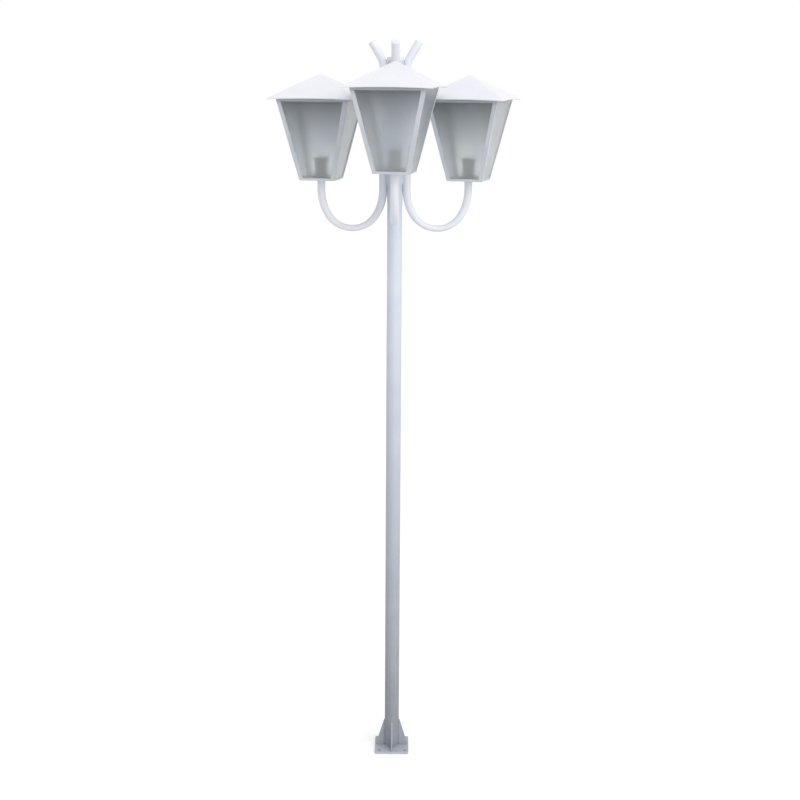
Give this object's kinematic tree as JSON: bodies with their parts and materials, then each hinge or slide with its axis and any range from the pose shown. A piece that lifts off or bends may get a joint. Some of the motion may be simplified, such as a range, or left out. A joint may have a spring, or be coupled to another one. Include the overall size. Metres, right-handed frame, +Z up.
{
  "type": "lamp post",
  "caption": "Tall round garden post on a bolted foot plate, with curved tube arms that carry square tapered lanterns with lift-off pyramid roofs.",
  "frame": {"origin": "centre of the foot plate's underside, on the post's axis", "axes": "+Z up along the post; -Y is the front, where the front arm points; +X is the right arm"},
  "size_m": [0.7845, 0.5536, 2.3686],
  "materials": {
    "base_paint": "white enamel on plate steel, dull and dusty near the ground",
    "post_paint": "white enamel on drawn tube and its gussets, semi-gloss",
    "cap_paint": "white enamel on pressed steel, thin coat",
    "arm_paint": "white enamel on bent tube, semi-gloss",
    "lantern_paint": "white enamel on folded sheet, semi-gloss",
    "roof_paint": "white enamel on folded sheet, semi-gloss",
    "pane_glass": "satin frosted glass, slightly blue grey",
    "porcelain": "glazed porcelain",
    "brass": "rolled brass, dull",
    "zinc": "zinc plated steel, threaded"
  },
  "bodies": {
    "post": {"base_plate": "base_paint", "post_tube": "post_paint", "gusset_front": "post_paint", "gusset_right": "post_paint", "gusset_back": "post_paint", "gusset_left": "post_paint", "post_cap": "cap_paint", "left_arm": "arm_paint", "left_arm_plug": "arm_paint", "front_arm": "arm_paint", "front_arm_plug": "arm_paint", "right_arm": "arm_paint", "right_arm_plug": "arm_paint", "left_bottom_tray": "lantern_paint", "left_top_ring": "lantern_paint", "left_bar_front_right": "lantern_paint", "left_bar_back_right": "lantern_paint", "left_bar_back_left": "lantern_paint", "left_bar_front_left": "lantern_paint", "front_bottom_tray": "lantern_paint", "front_top_ring": "lantern_paint", "front_bar_front_right": "lantern_paint", "front_bar_back_right": "lantern_paint", "front_bar_back_left": "lantern_paint", "front_bar_front_left": "lantern_paint", "right_bottom_tray": "lantern_paint", "right_top_ring": "lantern_paint", "right_bar_front_right": "lantern_paint", "right_bar_back_right": "lantern_paint", "right_bar_back_left": "lantern_paint", "right_bar_front_left": "lantern_paint", "left_pane_front": "pane_glass", "left_pane_right": "pane_glass", "left_pane_back": "pane_glass", "left_pane_left": "pane_glass", "front_pane_front": "pane_glass", "front_pane_right": "pane_glass", "front_pane_back": "pane_glass", "front_pane_left": "pane_glass", "right_pane_front": "pane_glass", "right_pane_right": "pane_glass", "right_pane_back": "pane_glass", "right_pane_left": "pane_glass", "left_lampholder": "porcelain", "front_lampholder": "porcelain", "right_lampholder": "porcelain", "left_holder_contacts": "brass", "front_holder_contacts": "brass", "right_holder_contacts": "brass", "lock_nuts": "zinc", "left_arm_bush": "zinc", "left_nipple": "zinc", "front_arm_bush": "zinc", "front_nipple": "zinc", "right_arm_bush": "zinc", "right_nipple": "zinc"},
    "left_roof": {"left_roof": "roof_paint"},
    "front_roof": {"front_roof": "roof_paint"},
    "right_roof": {"right_roof": "roof_paint"}
  },
  "joints": [
    {"name": "left_roof_lift", "type": "slide", "parent": "post", "child": "left_roof", "axis": [0, 0, 1], "range_m": [0, 0.12]},
    {"name": "front_roof_lift", "type": "slide", "parent": "post", "child": "front_roof", "axis": [0, 0, 1], "range_m": [0, 0.12]},
    {"name": "right_roof_lift", "type": "slide", "parent": "post", "child": "right_roof", "axis": [0, 0, 1], "range_m": [0, 0.12]}
  ]
}
